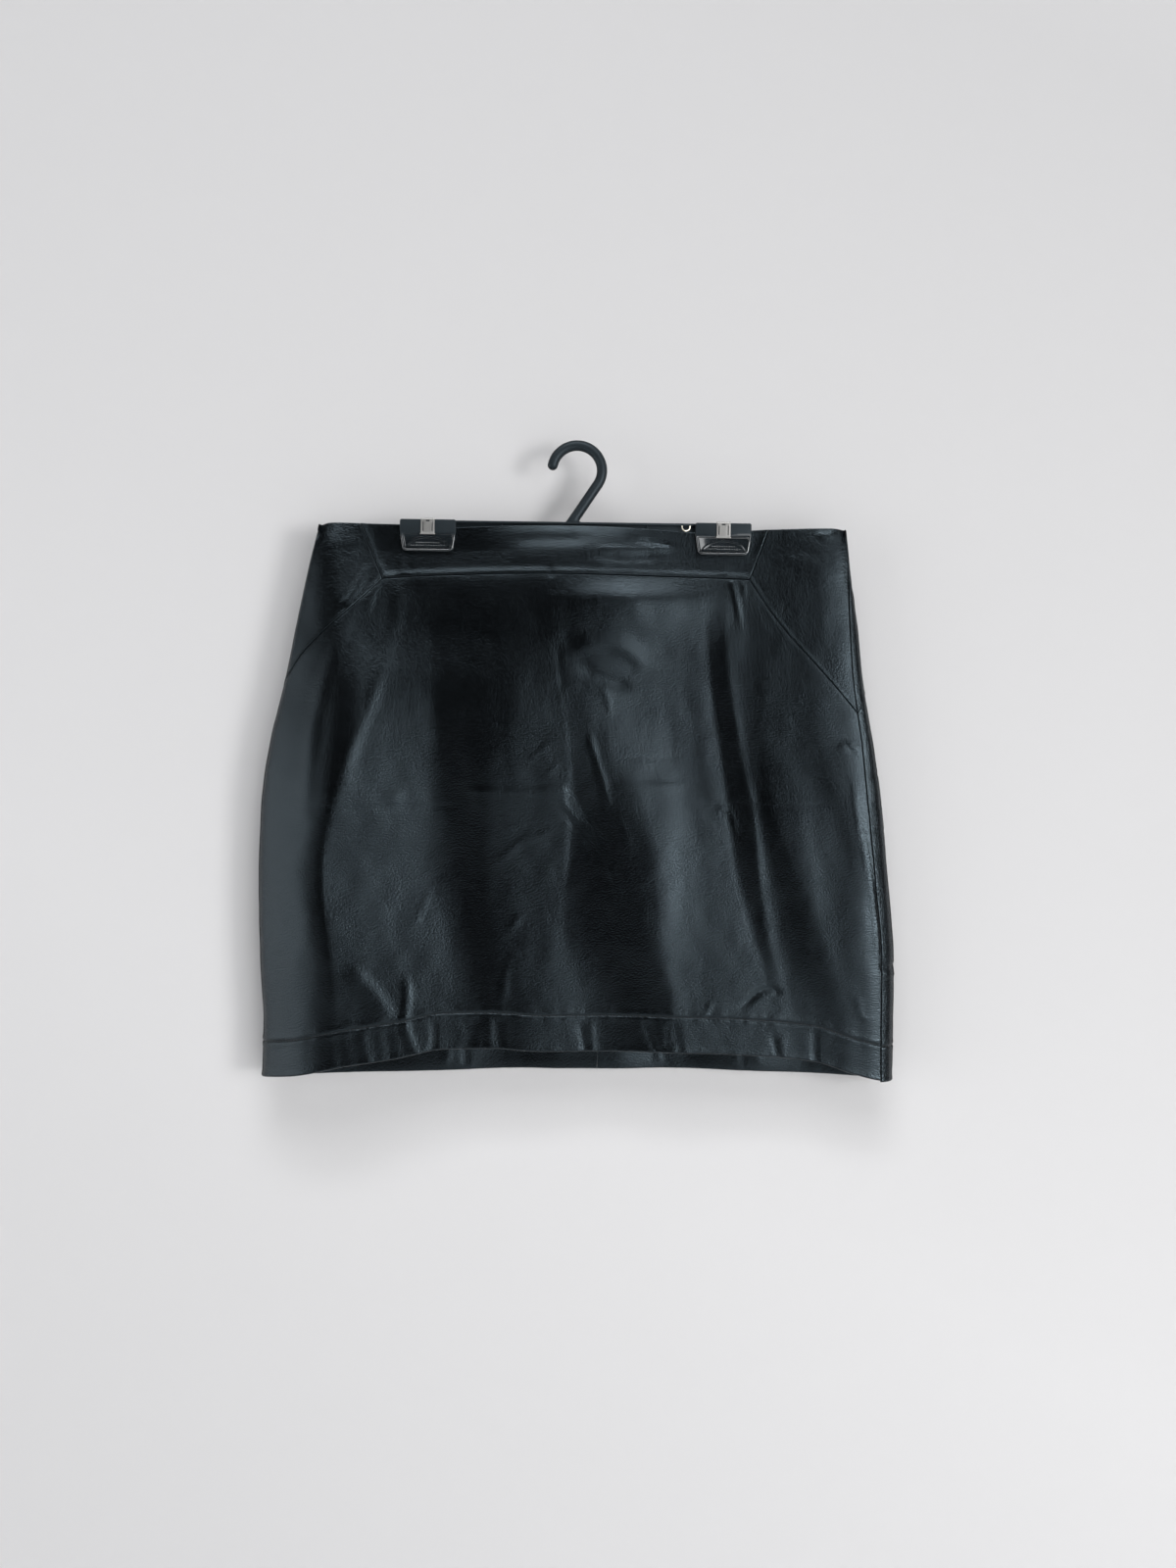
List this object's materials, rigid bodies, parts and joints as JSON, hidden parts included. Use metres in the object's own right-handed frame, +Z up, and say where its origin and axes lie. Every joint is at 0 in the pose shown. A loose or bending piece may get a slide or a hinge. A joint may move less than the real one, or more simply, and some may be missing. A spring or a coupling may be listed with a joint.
{
  "type": "leather-look mini skirt on a clip hanger",
  "caption": "Black leather-look mini skirt with a shaped front yoke and turned-up hem, hung by its waist from a plastic clip hanger.",
  "frame": {"origin": "the seat of the hanger's hook, on the underside of its crown, where it rests on a rail or wall hook", "axes": "+Z up, the skirt's front faces -Y, +X to the viewer's right as one looks at the front"},
  "size_m": [0.5033, 0.0561, 0.5041],
  "materials": {
    "black_leather": "smooth fine-grained faux leather with a soft bluish-grey sheen",
    "black_plastic": "moulded, half gloss",
    "spring_steel": "bright bent strip",
    "gilt_wire": "polished pale gold wire"
  },
  "bodies": {
    "root": {"front_yoke": "black_leather", "side_yoke_left": "black_leather", "side_yoke_right": "black_leather", "front_panel": "black_leather", "back_yoke_right": "black_leather", "back_yoke_left": "black_leather", "back_panel_right": "black_leather", "back_panel_left": "black_leather", "hanger_bar": "black_plastic", "hanger_hook": "black_plastic", "clip_jaw_left": "black_plastic", "clip_jaw_right": "black_plastic", "clip_spring_left": "spring_steel", "clip_spring_right": "spring_steel", "waist_loop": "gilt_wire"}
  },
  "joints": []
}
